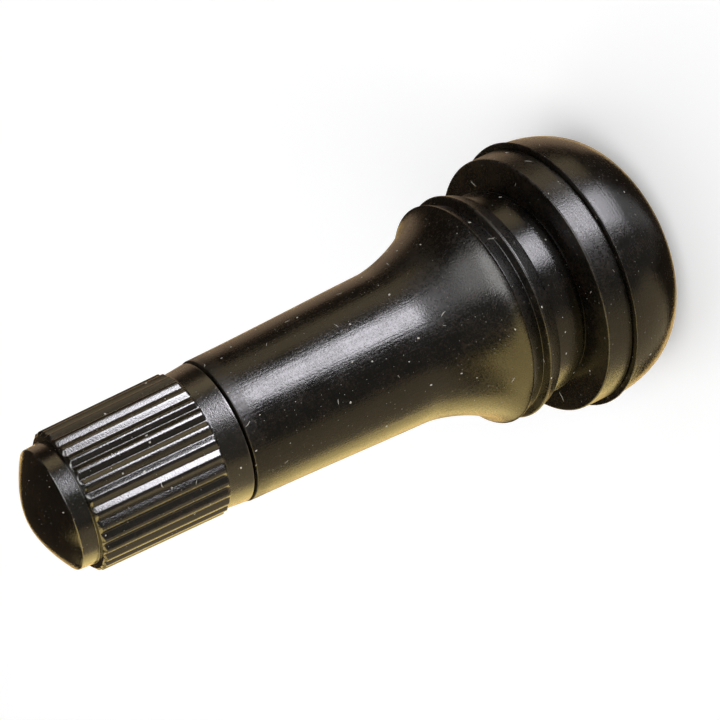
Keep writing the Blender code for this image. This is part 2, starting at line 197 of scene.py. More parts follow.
# Dust, specks and lint: spacing, length, width, bend, share of the cells and weight
BITS = (
    (0.0003, 0.11, 0.11, 0.0, 0.10, 0.25),
    (0.0012, 0.07, 0.05, 0.0, 0.14, 1.0),
    (0.0022, 0.10, 0.012, 1.6, 0.24, 0.8),
)
DUST = (0.55, 0.52, 0.46)
POWDER = (0.5, 0.47, 0.42)

# Gloss levels, heights of the bumps, and the colours of worn edges, tarnish, gasket and seals
RUBBER_GLOSS = 0.40
PLASTIC_GLOSS = 0.80
SEAL_GLOSS = 0.35
MOULDED_BUMP = 0.011 * MM
METAL_BUMP = 0.003 * MM
SEAL_BUMP = 0.004 * MM
RUBBER_WORN = (0.030, 0.026, 0.021)
PLASTIC_WORN = (0.040, 0.036, 0.030)
BRASS_TARNISH = (0.30, 0.22, 0.11)
STEEL_TARNISH = (0.36, 0.35, 0.34)
GASKET_RED = (0.36, 0.035, 0.022)
SEAL_BLACK = (0.020, 0.019, 0.018)

# Floor, how much it is lifted to white where it is seen, and the colour of the room's light
FLOOR_HALF = 1.6
FLOOR_Z = -0.01 * MM
FLOOR_LIFT = 0.34
ROOM_COLOUR = (0.97, 0.98, 1.0)

# Backdrop round the valve's middle: azimuths of its two sides, of the change from its dark part to
# its dim part, and the width of that change, in degrees
VALVE_MIDDLE = (0.0, 0.0, 0.022)
BACKDROP_RADIUS = 0.95
BACKDROP_GRID = (91, 45)
BACKDROP_TOP = 88.0
BACKDROP_FROM = -34.0
BACKDROP_TO = 283.0
BACKDROP_CHANGE = 215.0
BACKDROP_FADE = 20.0
BACKDROP_DARK = (0.060, 0.042, 0.026)
BACKDROP_DIM = (0.24, 0.22, 0.19)

# Lamps: name, azimuth, elevation, distance, size, strength and colour. The window's strengths are
# shares of its setting. Only the matt boxes light matt surfaces, and the rest show in gloss only.
COOL, PLAIN = (0.95, 0.93, 1.0), (1.0, 0.99, 0.98)
GOLD, AMBER = (1.0, 0.77, 0.30), (1.0, 0.66, 0.24)
TAN, BROWN = (1.0, 0.80, 0.48), (1.0, 0.70, 0.45)
WINDOW = (
    ("window top", 302.5, -20.0, 0.36, (0.18, 0.125), 1.0, COOL),
    ("window foot", 305.0, -39.0, 0.36, (0.175, 0.125), 0.39, COOL),
    ("middle box", 312.0, 24.0, 0.40, (0.30, 0.14), 0.14, PLAIN),
    ("high box", 308.0, 52.0, 0.42, (0.30, 0.22), 0.34, PLAIN),
)
CARDS = (
    ("side card", 350.0, -22.0, 0.42, (0.18, 0.34), 1.2, TAN),
    ("gold card", 190.0, 38.0, 0.40, (0.44, 0.44), 3.6, GOLD),
    ("edge card", 142.0, -2.0, 0.40, (0.28, 0.48), 2.7, GOLD),
    ("tan card", 190.0, -31.0, 0.41, (0.50, 0.46), 0.88, TAN),
    ("brown card", 54.0, -28.0, 0.42, (0.26, 0.40), 0.6, BROWN),
    ("rim card", 99.0, -24.0, 0.42, (0.32, 0.44), 2.3, AMBER),
)
MATT_BOXES = (
    ("front box", 262.0, 48.0, 0.60, (0.45, 0.45), 3.0, PLAIN),
    ("back box", 100.0, 50.0, 0.60, (0.45, 0.45), 1.5, PLAIN),
)

# Camera, as fitted to the picture's ellipses and outlines
CAMERA_LENS = 97.5
CAMERA_PLACE = (0.0072038, -0.1168108, 0.0737046)
CAMERA_FORWARD = (-0.0544506, 0.9111351, -0.4084948)
CAMERA_UP = (0.9127318, -0.1204804, -0.3903910)


def superellipse_quarter(r_flat, r_side, z_flat, z_side, fullness, count):
    """Quarter of a superellipse, from its flat to its side.

    With a from 0 to a right angle, the radius grows by sin(a) ** (2 / fullness), and the height
    runs by 1 - cos(a) ** (2 / fullness).
    """
    a = np.linspace(0.0, np.pi / 2, count)
    across = np.sin(a) ** (2.0 / fullness)
    along = 1.0 - np.clip(np.cos(a), 0.0, 1.0) ** (2.0 / fullness)
    return np.stack([r_flat + (r_side - r_flat) * across, z_flat + (z_side - z_flat) * along], 1)


def power_dome(r_side, z_top, z_side, power, count):
    """Dome from its edge to its top: at the share t of the radius it has fallen by t ** power."""
    t = np.linspace(1.0, 0.0, count)
    return np.stack([r_side * t, z_top - (z_top - z_side) * t**power], 1)


def bezier(p0, p1, p2, p3, count):
    """Cubic Bezier curve: the points weighted by s^3, 3 s^2 t, 3 s t^2 and t^3, s being 1 - t."""
    t = np.linspace(0.0, 1.0, count)[:, None]
    s = 1.0 - t
    p0, p1, p2, p3 = (np.array(p) for p in (p0, p1, p2, p3))
    return s**3 * p0 + 3 * s * s * t * p1 + 3 * s * t * t * p2 + t**3 * p3


def about_axis(r, a, z):
    """Points (r cos a, r sin a, z) at the radius r, the angle a and the height z."""
    return np.stack(np.broadcast_arrays(r * np.cos(a), r * np.sin(a), z), -1)


def direction(azimuth, elevation):
    """Unit vectors at an azimuth and an elevation in degrees."""
    a, e = np.radians(azimuth), np.radians(elevation)
    return about_axis(np.cos(e), a, np.sin(e))


def smooth_step(x):
    """0 below 0, 1 above 1, and x * x * (3 - 2 * x) between."""
    x = np.clip(x, 0.0, 1.0)
    return x * x * (3.0 - 2.0 * x)


def rounded(*corners):
    """Closed outline of (radius, height) whose corners are rounded.

    A corner (r, z, size) becomes a quadratic Bezier between the two points that lie size away from
    it on its two sides, or at most 0.45 of a side. A corner with no size stays as it is. Each long
    straight stretch gets a point close to either end, so that it stays flat where it is shaded.
    """
    points = np.array([c[:2] for c in corners], float)
    sizes = np.array([c[2] if len(c) > 2 else 0.0 for c in corners], float)
    before = np.roll(points, 1, 0) - points
    after = np.roll(points, -1, 0) - points
    reach_before = np.minimum(sizes, LONGEST_ARC * np.linalg.norm(before, axis=1))
    reach_after = np.minimum(sizes, LONGEST_ARC * np.linalg.norm(after, axis=1))
    line = []
    for k, point in enumerate(points):
        if sizes[k] == 0.0:
            line.append(point[None])
            continue
        start = point + before[k] * reach_before[k] / np.linalg.norm(before[k])
        end = point + after[k] * reach_after[k] / np.linalg.norm(after[k])
        t = np.linspace(0.0, 1.0, 5 + int(sizes[k] / ARC_STEP))[:, None]
        line.append((1 - t) ** 2 * start + 2 * t * (1 - t) * point + t * t * end)
    line = np.concatenate(line)
    step = np.roll(line, -1, 0) - line
    length = np.linalg.norm(step, axis=1)
    long = length > 5 * HOLD
    unit = step / np.maximum(length, 1e-12)[:, None]
    first = np.where(long[:, None], line + unit * HOLD, np.nan)
    last = np.where(long[:, None], line + step - unit * HOLD, np.nan)
    mixed = np.stack([line, first, last], 1).reshape(-1, 2)
    return mixed[~np.isnan(mixed[:, 0])]


def cut_at_axis(line):
    """An outline that starts on the axis, up to its next point there."""
    return line[: np.flatnonzero(line[:, 0] <= ON_AXIS)[1] + 1]


def edge_share(line):
    """How sharply convex a closed outline is at each point, from 0 on a flat to 1 on an edge.

    It is the left turn at the point over the mean length of its two sides, times 0.25 mm.
    """
    before = line - np.roll(line, 1, 0)
    after = np.roll(line, -1, 0) - line
    turn = before[:, 0] * after[:, 1] - before[:, 1] * after[:, 0]
    angle = np.arctan2(turn, (before * after).sum(1))
    length = (np.linalg.norm(before, axis=1) + np.linalg.norm(after, axis=1)) / 2
    return np.clip(angle / np.maximum(length, 1e-9) * EDGE_REACH, 0.0, 1.0)


def grid_faces(rows, cols, loop_rows, loop_cols):
    """Quads between the points of a rows by cols grid, closed on itself where it loops."""
    ids = np.arange(rows * cols).reshape(rows, cols)
    if loop_rows:
        ids = np.concatenate([ids, ids[:1]], 0)
    if loop_cols:
        ids = np.concatenate([ids, ids[:, :1]], 1)
    return np.stack([ids[:-1, :-1], ids[:-1, 1:], ids[1:, 1:], ids[1:, :-1]], -1).reshape(-1, 4)


def shell(points, edge=None, loop_rows=False, tips=()):
    """One closed shell as (points, blocks of faces, edge values), from a grid whose columns loop.

    A tip is a point that closes the first or the last row with a fan of triangles.
    """
    rows, cols = points.shape[:2]
    blocks = [grid_faces(rows, cols, loop_rows, True)]
    flat = points.reshape(-1, 3)
    values = np.zeros(len(flat)) if edge is None else np.asarray(edge).reshape(-1)
    for row, tip in tips:
        ring = (row % rows) * cols + np.arange(cols)
        blocks.append(np.stack([np.full(cols, len(flat)), ring, np.roll(ring, -1)], 1))
        flat = np.concatenate([flat, [tip]])
        values = np.append(values, 0.0)
    return flat, blocks, values


def waves(a, shift):
    """Irregular wave round the axis: the mean of sines of 5, 13, 29 and 53 times the angle."""
    counts = np.array([5, 13, 29, 53])[:, None]
    return np.sin(counts * a + shift * (1 + counts)).mean(0)


def turned(line, steps=ROUND_STEPS, closed=True, ripple=None):
    """Shell of a closed outline turned about Z: (r cos a, r sin a, z) for each point and angle a.

    An outline that isn't closed starts and ends on the axis, and its two ends become tips. A
    ripple (low radius, height, size) shifts the points beyond that radius along Z by
    size * waves(a), which fades with their distance from that height and differs on its two sides.
    """
    edge = edge_share(line)
    tips = ()
    if not closed:
        tips = ((0, (0.0, 0.0, line[0, 1])), (-1, (0.0, 0.0, line[-1, 1])))
        line, edge = line[1:-1], edge[1:-1]
    a = np.linspace(0.0, TAU, steps, endpoint=False)
    r, z = line[:, :1], line[:, 1:]
    if ripple is not None:
        low_r, level, size = ripple
        near = np.exp(-(((z - level) / RIPPLE_REACH) ** 2)) * (r > low_r)
        z = z + size * near * np.where(z > level, waves(a, 0.7), waves(a, 2.1))
    return shell(about_axis(r, a, z), np.repeat(edge, steps), loop_rows=closed, tips=tips)


def thread_ridge(base_r, crest_r, pitch, low_z, high_z, crest_width, phase=0.0, limit=None):
    """Right-handed V ridge carried along a helix, closed at both ends.

    After t turns its middle is at the angle 360 t and the height low_z + pitch * (t + phase).
    Across the ridge the radius goes from just under base_r to crest_r and back, with flanks of 30
    degrees. Its height fades in and out over a third of a turn, and limit(z), where given, is the
    furthest radius that it may reach.
    """
    outward = np.sign(crest_r - base_r)
    depth = abs(crest_r - base_r)
    turns = (high_z - low_z) / pitch - phase
    t = np.linspace(0.0, turns, int(turns * THREAD_STEPS))[:, None]
    fade = smooth_step(np.minimum(t, turns - t) / THREAD_FADE_TURNS)
    flank = np.tan(np.pi / 6)
    half_crest = crest_width / 2
    half_base = half_crest + depth * flank
    soften = 0.18 * depth
    rise = np.array([0.0, 0.0, depth - soften, depth, depth, depth - soften, 0.0, 0.0])
    rise[[0, -1]] = -THREAD_SINK
    side = np.array([-1, -1, 0, 0, 0, 0, 1, 1.0]) * half_base
    side += np.array([0, 0, -1, -0.6, 0.6, 1, 0, 0]) * (half_crest + soften * flank)
    radius = base_r + outward * np.where(rise > 0, rise * fade, rise)
    height = low_z + pitch * (t + phase) + side * (0.4 + 0.6 * fade)
    if limit is not None:
        furthest = limit(height)
        radius = np.minimum(radius, furthest) if outward > 0 else np.maximum(radius, furthest)
    points = about_axis(radius, TAU * t, height)
    edge = np.tile(np.array([0, 0, 0.5, 1, 1, 0.5, 0, 0.0]), (len(t), 1))
    ends = ((0, points[0].mean(0)), (-1, points[-1].mean(0)))
    return shell(points, edge, tips=ends)


def tube(path, radius, sides=10):
    """Round tube along a path about Z: each ring lies across the path, on the outward direction
    from the axis and on the direction square to it and to the path."""
    along = np.gradient(path, axis=0)
    along /= np.linalg.norm(along, axis=1)[:, None]
    out = path * np.array([1.0, 1.0, 0.0])
    out /= np.linalg.norm(out, axis=1)[:, None]
    over = np.cross(along, out)
    a = np.linspace(0.0, TAU, sides, endpoint=False)[None, :, None]
    points = path[:, None] + radius * (np.cos(a) * out[:, None] + np.sin(a) * over[:, None])
    return shell(points, tips=((0, path[0]), (-1, path[-1])))


def block_with_hole(half_length, half_width, low_z, high_z, hole_r, rounding, steps=96):
    """Upright block round a hole, as one turned shell whose outer radius changes with the angle.

    Its plan is a superellipse of power 9: the outer radius at the angle a is
    (|cos a / half_length|^9 + |sin a / half_width|^9) ^ (-1/9).
    """
    a = np.linspace(0.0, TAU, steps, endpoint=False)
    plan = (np.abs(np.cos(a) / half_length) ** 9 + np.abs(np.sin(a) / half_width) ** 9) ** (-1 / 9)
    turn = np.linspace(0.0, np.pi / 2, 5)
    inset = rounding * np.concatenate([1 - np.sin(turn), 1 - np.cos(turn)])
    foot, top = low_z + rounding * (1 - np.cos(turn)), high_z - rounding * (1 - np.sin(turn))
    level = np.concatenate([foot, top])
    r = np.concatenate([plan[None] - inset[:, None], np.full((2, steps), hole_r)])
    z = np.concatenate([level, [high_z, low_z]])[:, None]
    edge = np.concatenate([np.full(len(inset), 0.7), [0.0, 0.0]])
    return shell(about_axis(r, a, z), np.repeat(edge, steps), loop_rows=True)


def link_object(name, data):
    """A new object in the scene."""
    made = bpy.data.objects.new(name, data)
    bpy.context.scene.collection.objects.link(made)
    return made


def make_piece(name, shells, finish, body, slot, *nodes):
    """One object from closed shells: faces turned outwards, shaded smooth, riding on its body."""
    points, faces, values, start = [], [], [], 0
    for shell_points, blocks, shell_values in shells:
        points.append(shell_points)
        for block in blocks:
            faces += (block + start).tolist()
        values.append(shell_values)
        start += len(shell_points)
    mesh = bpy.data.meshes.new(name)
    mesh.from_pydata(np.concatenate(points).tolist(), [], faces)
    worn = mesh.attributes.new("edge", "FLOAT", "POINT")
    worn.data.foreach_set("value", np.concatenate(values).astype(np.float32))
    bm = bmesh.new()
    bm.from_mesh(mesh)
    bmesh.ops.recalc_face_normals(bm, faces=bm.faces[:])
    bm.to_mesh(mesh)
    bm.free()
    mesh.shade_smooth()
    mesh.set_sharp_from_angle(angle=SMOOTH_LIMIT)
    mesh.materials.append(finish)
    piece = link_object(name, mesh)
    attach(piece, body)
    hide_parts(*nodes)
    return piece


def node(tree, kind, inputs=(), **settings):
    """A node with its settings, its values and its links. Inputs are pairs of socket and value."""
    made = tree.nodes.new(kind)
    made.location = (190 * (len(tree.nodes) % 8), -220 * (len(tree.nodes) // 8))
    for key, value in settings.items():
        setattr(made, key, value)
    for key, value in inputs:
        if isinstance(value, bpy.types.NodeSocket):
            tree.links.new(value, made.inputs[key])
        else:
            made.inputs[key].default_value = value
    return made


def math(tree, operation, a, b=0.0, c=0.0):
    """The output of one Math node."""
    made = node(tree, "ShaderNodeMath", ((0, a), (1, b), (2, c)), operation=operation)
    return made.outputs[0]


def ramp(tree, value, low, high, to_low=0.0, to_high=1.0):
    """A value carried from the range low to high to the range to_low to to_high, with soft ends."""
    limits = (("From Min", low), ("From Max", high), ("To Min", to_low), ("To Max", to_high))
    inputs = (("Value", value), *limits)
    made = node(tree, "ShaderNodeMapRange", inputs, interpolation_type="SMOOTHSTEP")
    return made.outputs["Result"]


def blend(tree, share, a, b):
    """Colour a where share is 0 and colour b where it is 1. A constant is (red, green, blue)."""
    a, b = ((*colour, 1.0) if isinstance(colour, tuple) else colour for colour in (a, b))
    inputs = ((0, share), (6, a), (7, b))
    return node(tree, "ShaderNodeMix", inputs, data_type="RGBA").outputs[2]


def parts(tree, vector):
    """The three parts of a vector."""
    return node(tree, "ShaderNodeSeparateXYZ", ((0, vector),)).outputs


def square_sum(tree, a, b):
    """a * a + b * b."""
    return math(tree, "MULTIPLY_ADD", a, a, math(tree, "MULTIPLY", b, b))


def noise(tree, vector, detail, **settings):
    """The value of a noise whose cells are one step of the vector wide."""
    inputs = (("Vector", vector), ("Scale", 1.0), ("Detail", detail))
    return node(tree, "ShaderNodeTexNoise", inputs, **settings).outputs[0]


def new_group(name, inputs, outputs):
    """An empty shader group with float inputs (name, default) and float outputs."""
    tree = bpy.data.node_groups.new(name, "ShaderNodeTree")
    kind = "NodeSocketFloat"
    for label, default in inputs:
        socket = tree.interface.new_socket(name=label, in_out="INPUT", socket_type=kind)
        socket.default_value = default
    for label in outputs:
        tree.interface.new_socket(name=label, in_out="OUTPUT", socket_type=kind)
    source = tree.nodes.new("NodeGroupInput")
    target = tree.nodes.new("NodeGroupOutput")
    place = node(tree, "ShaderNodeTexCoord").outputs["Object"]
    return tree, source.outputs, target.inputs, place


def scaled(tree, place, size):
    """A vector counted in steps of a size in metres."""
    inputs = ((0, place), ("Scale", math(tree, "DIVIDE", 1.0, size)))
    return node(tree, "ShaderNodeVectorMath", inputs, operation="SCALE").outputs[0]


def grain_group():
    """Moulded grain: fine noise on slow noise for height, and the slow noise for shade."""
    sockets = (("Grain Size", 0.00012), ("Swell Size", 0.003))
    tree, given, put, place = new_group("moulded grain", sockets, ("Height", "Shade"))
    fine = noise(tree, scaled(tree, place, given["Grain Size"]), 3.0)
    slow = noise(tree, scaled(tree, place, given["Swell Size"]), 4.0)
    tree.links.new(math(tree, "MULTIPLY_ADD", slow, 0.8, fine), put["Height"])
    tree.links.new(ramp(tree, slow, 0.3, 0.7), put["Shade"])
    return tree


def bits_group():
    """Dust and lint: one short bent stroke in some cells of a Voronoi pattern, turned at random.

    The pattern lies on the skin unrolled about Z: across is the angle times 6 mm, and along is the
    height less 0.7 of the radius. A stroke as wide as it is long is a speck. None lies on the axis.
    """
    sockets = (("Spacing", 0.001), ("Length", 0.1), ("Width", 0.1), ("Bend", 0.0), ("Amount", 0.2))
    tree, given, put, place = new_group("dust and lint", sockets, ("Mask",))
    x, y, z = parts(tree, place)
    radius = math(tree, "SQRT", square_sum(tree, x, y))
    across = math(tree, "MULTIPLY", math(tree, "ARCTAN2", y, x), SKIN_R)
    along = math(tree, "MULTIPLY_ADD", radius, -SKIN_LEAN, z)
    flat = node(tree, "ShaderNodeCombineXYZ", (("X", across), ("Y", along))).outputs[0]
    skin = scaled(tree, flat, given["Spacing"])
    inputs = (("Vector", skin), ("Scale", 1.0))
    cells = node(tree, "ShaderNodeTexVoronoi", inputs, voronoi_dimensions="2D").outputs
    dice = node(tree, "ShaderNodeSeparateColor", (("Color", cells["Color"]),)).outputs
    inputs = ((0, skin), (1, cells["Position"]))
    local = node(tree, "ShaderNodeVectorMath", inputs, operation="SUBTRACT").outputs[0]
    inputs = (("Vector", local), ("Angle", math(tree, "MULTIPLY", dice[0], TAU)))
    laid = node(tree, "ShaderNodeVectorRotate", inputs, rotation_type="Z_AXIS").outputs[0]
    length, width, _ = parts(tree, laid)
    curve = math(tree, "MULTIPLY", math(tree, "MULTIPLY", length, length), given["Bend"])
    bent = math(tree, "ADD", width, curve)
    share = math(tree, "ADD", dice[2], 0.4)
    ends = []
    for distance, label in ((length, "Length"), (bent, "Width")):
        reach = math(tree, "MULTIPLY", given[label], share)
        ends.append(math(tree, "DIVIDE", math(tree, "ABSOLUTE", distance), reach))
    inside = ramp(tree, square_sum(tree, *ends), 1.0, 0.4)
    mask = math(tree, "MULTIPLY", inside, math(tree, "LESS_THAN", dice[1], given["Amount"]))
    tree.links.new(math(tree, "MULTIPLY", mask, ramp(tree, radius, BARE_R, DUSTY_R)), put["Mask"])
    return tree


def streak_group():
    """Streaks of the mould: noise on the skin unrolled about Z, drawn out along or across.

    Across is the angle times 6 mm in steps of Across, and along is the height in steps of Along.
    """
    sockets = (("Across", 0.0002), ("Along", 0.004))
    tree, given, put, place = new_group("mould streaks", sockets, ("Height",))
    x, y, z = parts(tree, place)
    angle = math(tree, "ARCTAN2", math(tree, "MULTIPLY", x, -1.0), y)
    across = math(tree, "DIVIDE", math(tree, "MULTIPLY", angle, SKIN_R), given["Across"])
    along = math(tree, "DIVIDE", z, given["Along"])
    flat = node(tree, "ShaderNodeCombineXYZ", (("X", across), ("Y", along))).outputs[0]
    drawn = noise(tree, flat, 2.0, noise_dimensions="2D")
    tree.links.new(ramp(tree, drawn, 0.3, 0.7), put["Height"])
    return tree


def wear_group():
    """Worn edges: the piece's own edge values, broken up by noise."""
    sockets = (("Break Up", 0.0004), ("Wear", 0.5))
    tree, given, put, place = new_group("worn edges", sockets, ("Mask",))
    edge = node(tree, "ShaderNodeAttribute", attribute_name="edge").outputs["Fac"]
    spots = ramp(tree, noise(tree, scaled(tree, place, given["Break Up"]), 3.0), 0.35, 0.65)
    patchy = math(tree, "MULTIPLY", edge, spots)
    tree.links.new(math(tree, "MULTIPLY", patchy, given["Wear"]), put["Mask"])
    return tree


def turning_group():
    """Tool marks of a lathe: noise that changes along the radius and the height only."""
    sockets = (("Mark Size", 0.00006),)
    tree, given, put, place = new_group("turning marks", sockets, ("Height", "Shade"))
    x, y, z = parts(tree, scaled(tree, place, given["Mark Size"]))
    across = math(tree, "SQRT", square_sum(tree, x, y))
    rings = node(tree, "ShaderNodeCombineXYZ", (("X", across), ("Z", z))).outputs[0]
    tree.links.new(noise(tree, rings, 2.0), put["Height"])
    tree.links.new(noise(tree, scaled(tree, place, 0.0015), 3.0), put["Shade"])
    return tree


GROUPS = {
    "moulded grain": grain_group,
    "dust and lint": bits_group,
    "mould streaks": streak_group,
    "worn edges": wear_group,
    "turning marks": turning_group,
}


def place_group(tree, name, **values):
    """The outputs of a shared group, made once, with its own values in this material."""
    shared = bpy.data.node_groups.get(name) or GROUPS[name]()
    made = node(tree, "ShaderNodeGroup", node_tree=shared)
    for label, value in values.items():
        made.inputs[label.replace("_", " ")].default_value = value
    return made.outputs


def new_material(name, **constants):
    """A material, its tree and its Principled shader with constant sockets set."""
    made = bpy.data.materials.new(name)
    made.use_nodes = True
    tree = made.node_tree
    shader = tree.nodes["Principled BSDF"]
    for label, value in constants.items():
        shader.inputs[label.replace("_", " ")].default_value = value
    return made, tree, shader


def feed(tree, shader, colour, roughness, height, distance):
    """Feed the shader its colour, its roughness and its bumps, whose height is distance metres."""
    bump = node(tree, "ShaderNodeBump", (("Height", height), ("Distance", distance)))
    fed = {"Base Color": colour, "Roughness": roughness, "Normal": bump.outputs[0]}
    for label, value in fed.items():
        tree.links.new(value, shader.inputs[label])


def moulded_material(name, colour, gloss, roughness, grain, dust, worn, streaks, zones):
    """Black moulded rubber or plastic: grain, slow shade, streaks, worn edges, dust and lint.

    It is duller where it is seen edge-on. Streaks (across, along, start, end) lie where the height
    has gone from start towards end. A zone (start, end, change) changes its roughness from the
    height start to the height end, and on from there.
    """
    made, tree, shader = new_material(name, Specular_IOR_Level=gloss)
    skin = place_group(tree, "moulded grain", Grain_Size=grain, Swell_Size=0.0026)
    patches = place_group(tree, "moulded grain", Grain_Size=0.00024, Swell_Size=0.0012)["Height"]
    edges = place_group(tree, "worn edges", Break_Up=0.0005, Wear=0.5)
    loose = 0.0
    for spacing, length, width, bend, amount, weight in BITS:
        values = {"Spacing": spacing, "Length": length, "Width": width, "Bend": bend}
        bits = place_group(tree, "dust and lint", Amount=amount * dust, **values)
        loose = math(tree, "MAXIMUM", loose, math(tree, "MULTIPLY", bits["Mask"], weight))
    shade = blend(tree, skin["Shade"], tuple(0.55 * c for c in colour), colour)
    brown = (2.6 * colour[0], 1.9 * colour[1], 1.4 * colour[2])
    shade = blend(tree, ramp(tree, patches, 0.85, 1.25), shade, brown)
    shade = blend(tree, edges["Mask"], shade, worn)
    shade = blend(tree, loose, shade, DUST)
    dull = ramp(tree, skin["Height"], 0.6, 1.2, roughness - 0.06, roughness + 0.08)
    dull = math(tree, "ADD", dull, ramp(tree, patches, 0.6, 1.2, -0.03, 0.05))
    facing = node(tree, "ShaderNodeLayerWeight", (("Blend", 0.5),)).outputs["Facing"]
    dull = math(tree, "ADD", dull, ramp(tree, facing, 0.75, 1.0, 0.0, 0.20))
    height = parts(tree, node(tree, "ShaderNodeTexCoord").outputs["Object"])[2]
    for start, end, change in zones:
        dull = math(tree, "ADD", dull, ramp(tree, height, start, end, 0.0, change))
    raised = math(tree, "MULTIPLY_ADD", loose, 1.5, skin["Height"])
    for across, along, start, end in streaks:
        drawn = place_group(tree, "mould streaks", Across=across, Along=along)["Height"]
        drawn = math(tree, "MULTIPLY", drawn, ramp(tree, height, start, end))
        raised = math(tree, "MULTIPLY_ADD", drawn, 0.16, raised)
        dull = math(tree, "MULTIPLY_ADD", drawn, 0.05, dull)
    dull = math(tree, "MULTIPLY_ADD", loose, 0.4, dull)
    feed(tree, shader, shade, dull, raised, MOULDED_BUMP)
    return made


def metal_material(name, colour, tarnish, roughness, mark_size):
    """Turned or drawn metal: tool marks, brighter edges and slow tarnish."""
    made, tree, shader = new_material(name, Metallic=1.0)
    marks = place_group(tree, "turning marks", Mark_Size=mark_size)
    edges = place_group(tree, "worn edges", Break_Up=0.0003, Wear=0.7)
    shade = blend(tree, ramp(tree, marks["Shade"], 0.35, 0.7), colour, tarnish)
    bright = tuple(min(1.0, 1.2 * c) for c in colour)
    shade = blend(tree, edges["Mask"], shade, bright)
    dull = ramp(tree, marks["Shade"], 0.3, 0.75, roughness - 0.05, roughness + 0.14)
    feed(tree, shader, shade, dull, marks["Height"], METAL_BUMP)
    return made


def soft_material(name, colour, roughness):
    """Smooth sealing rubber with a fine grain and a little dust."""
    made, tree, shader = new_material(name, Specular_IOR_Level=SEAL_GLOSS)
    skin = place_group(tree, "moulded grain", Grain_Size=0.00009, Swell_Size=0.0014)
    powder = place_group(
        tree, "dust and lint", Spacing=0.0004, Length=0.08, Width=0.08, Amount=0.05
    )
    shade = blend(tree, skin["Shade"], tuple(0.7 * c for c in colour), colour)
    shade = blend(tree, powder["Mask"], shade, POWDER)
    dull = ramp(tree, skin["Height"], 0.55, 1.25, roughness - 0.06, roughness + 0.06)
    feed(tree, shader, shade, dull, skin["Height"], SEAL_BUMP)
    return made


def finish_named(name, maker, *values):
    """The finish of that name, made once."""
    return bpy.data.materials.get(name) or maker(name, *values)


def rubber_outline():
    """Closed outline of the moulded rubber, from the flat up the outside and down the inside."""
    dome = superellipse_quarter(BASE_FLAT_R, DOME_R, 0.0, LIP_Z - 0.12 * MM, DOME_FULLNESS, 34)
    lip = [
        (head_r, LIP_Z - 0.09 * MM, 0.06 * MM),
        (head_r - 0.03 * MM, LIP_Z, 0.05 * MM),
        (CRACK_R, LIP_Z, 0.02 * MM),
        (CRACK_R, LIP_Z + 0.06 * MM, 0.02 * MM),
        (BAND_R, LIP_Z + 0.09 * MM, 0.03 * MM),
        (BAND_TOP_R, FLANGE_Z, 0.15 * MM),
        (GROOVE_FOOT_R, FLANGE_Z, 0.05 * MM),
        (GROOVE_R - 0.03 * MM, FLANGE_Z + 0.72 * MM, 0.5 * MM),
        (GROOVE_R, NECK_Z, 0.08 * MM),
        (RING_EDGE_R, NECK_Z + 0.08 * MM, 0.08 * MM),
        (RING_R, V_GROOVE_Z - 0.22 * MM, 0.14 * MM),
        (V_GROOVE_R, V_GROOVE_Z, 0.06 * MM),
        (FLARE_R, FLARE_Z + 0.05 * MM, 0.45 * MM),
    ]
    flare = bezier(
        (FLARE_R - 0.06 * MM, FLARE_Z + 0.06 * MM),
        (FLARE_R - 1.2 * MM, FLARE_Z + 0.75 * MM),
        (STEM_ROOT_R + 0.09 * MM, STEM_ROOT_Z - 1.8 * MM),
        (STEM_ROOT_R, STEM_ROOT_Z),
        40,
    )
    stem = bezier(
        (STEM_ROOT_R, STEM_ROOT_Z),
        *STEM_PULLS,
        (MOUTH_R, stem_mouth_z - 0.16 * MM),
        24,
    )
    bore_r, pocket_r = SHANK_R + MOULD_GAP, FOOT_R + MOULD_GAP
    pocket_z, foot_top_z = barrel_foot_z - MOULD_GAP, barrel_foot_z + FOOT_HEIGHT + MOULD_GAP
    inside = [
        (MOUTH_R, stem_mouth_z, 0.14 * MM),
        (bore_r, stem_mouth_z, 0.10 * MM),
        (bore_r, foot_top_z, 0.05 * MM),
        (pocket_r, foot_top_z, 0.05 * MM),
        (pocket_r, pocket_z, 0.05 * MM),
        (CHANNEL_R, pocket_z, 0.15 * MM),
        (CHANNEL_R, 1.6 * MM, 0.3 * MM),
        (CHANNEL_R + 0.9 * MM, 0.0, 0.3 * MM),
    ]
    return rounded(*dome, *lip, *flare, *stem[1:], *inside)


def barrel_outline():
    """Closed outline of the barrel: foot, shank, thread root, mouth, core bore, seat and bore."""
    top = barrel_top_z
    return rounded(
        (FOOT_R, barrel_foot_z, 0.15 * MM),
        (FOOT_R, barrel_foot_z + FOOT_HEIGHT, 0.15 * MM),
        (SHANK_R, barrel_foot_z + FOOT_HEIGHT, 0.2 * MM),
        (SHANK_R, THREAD_START_Z - 0.1 * MM, 0.05 * MM),
        (THREAD_ROOT_R, THREAD_START_Z, 0.05 * MM),
        (THREAD_ROOT_R, top - 0.27 * MM, 0.03 * MM),
        (BARREL_MOUTH_R, top, 0.06 * MM),
        (CORE_BORE_R + 0.15 * MM, top, 0.05 * MM),
        (CORE_BORE_R, top - 0.15 * MM, 0.04 * MM),
        (CORE_BORE_R, CORE_SEAT_Z, 0.05 * MM),
        (LOWER_BORE_R, CORE_SEAT_Z - CORE_SEAT_DEPTH, 0.1 * MM),
        (LOWER_BORE_R, barrel_foot_z, 0.1 * MM),
    )


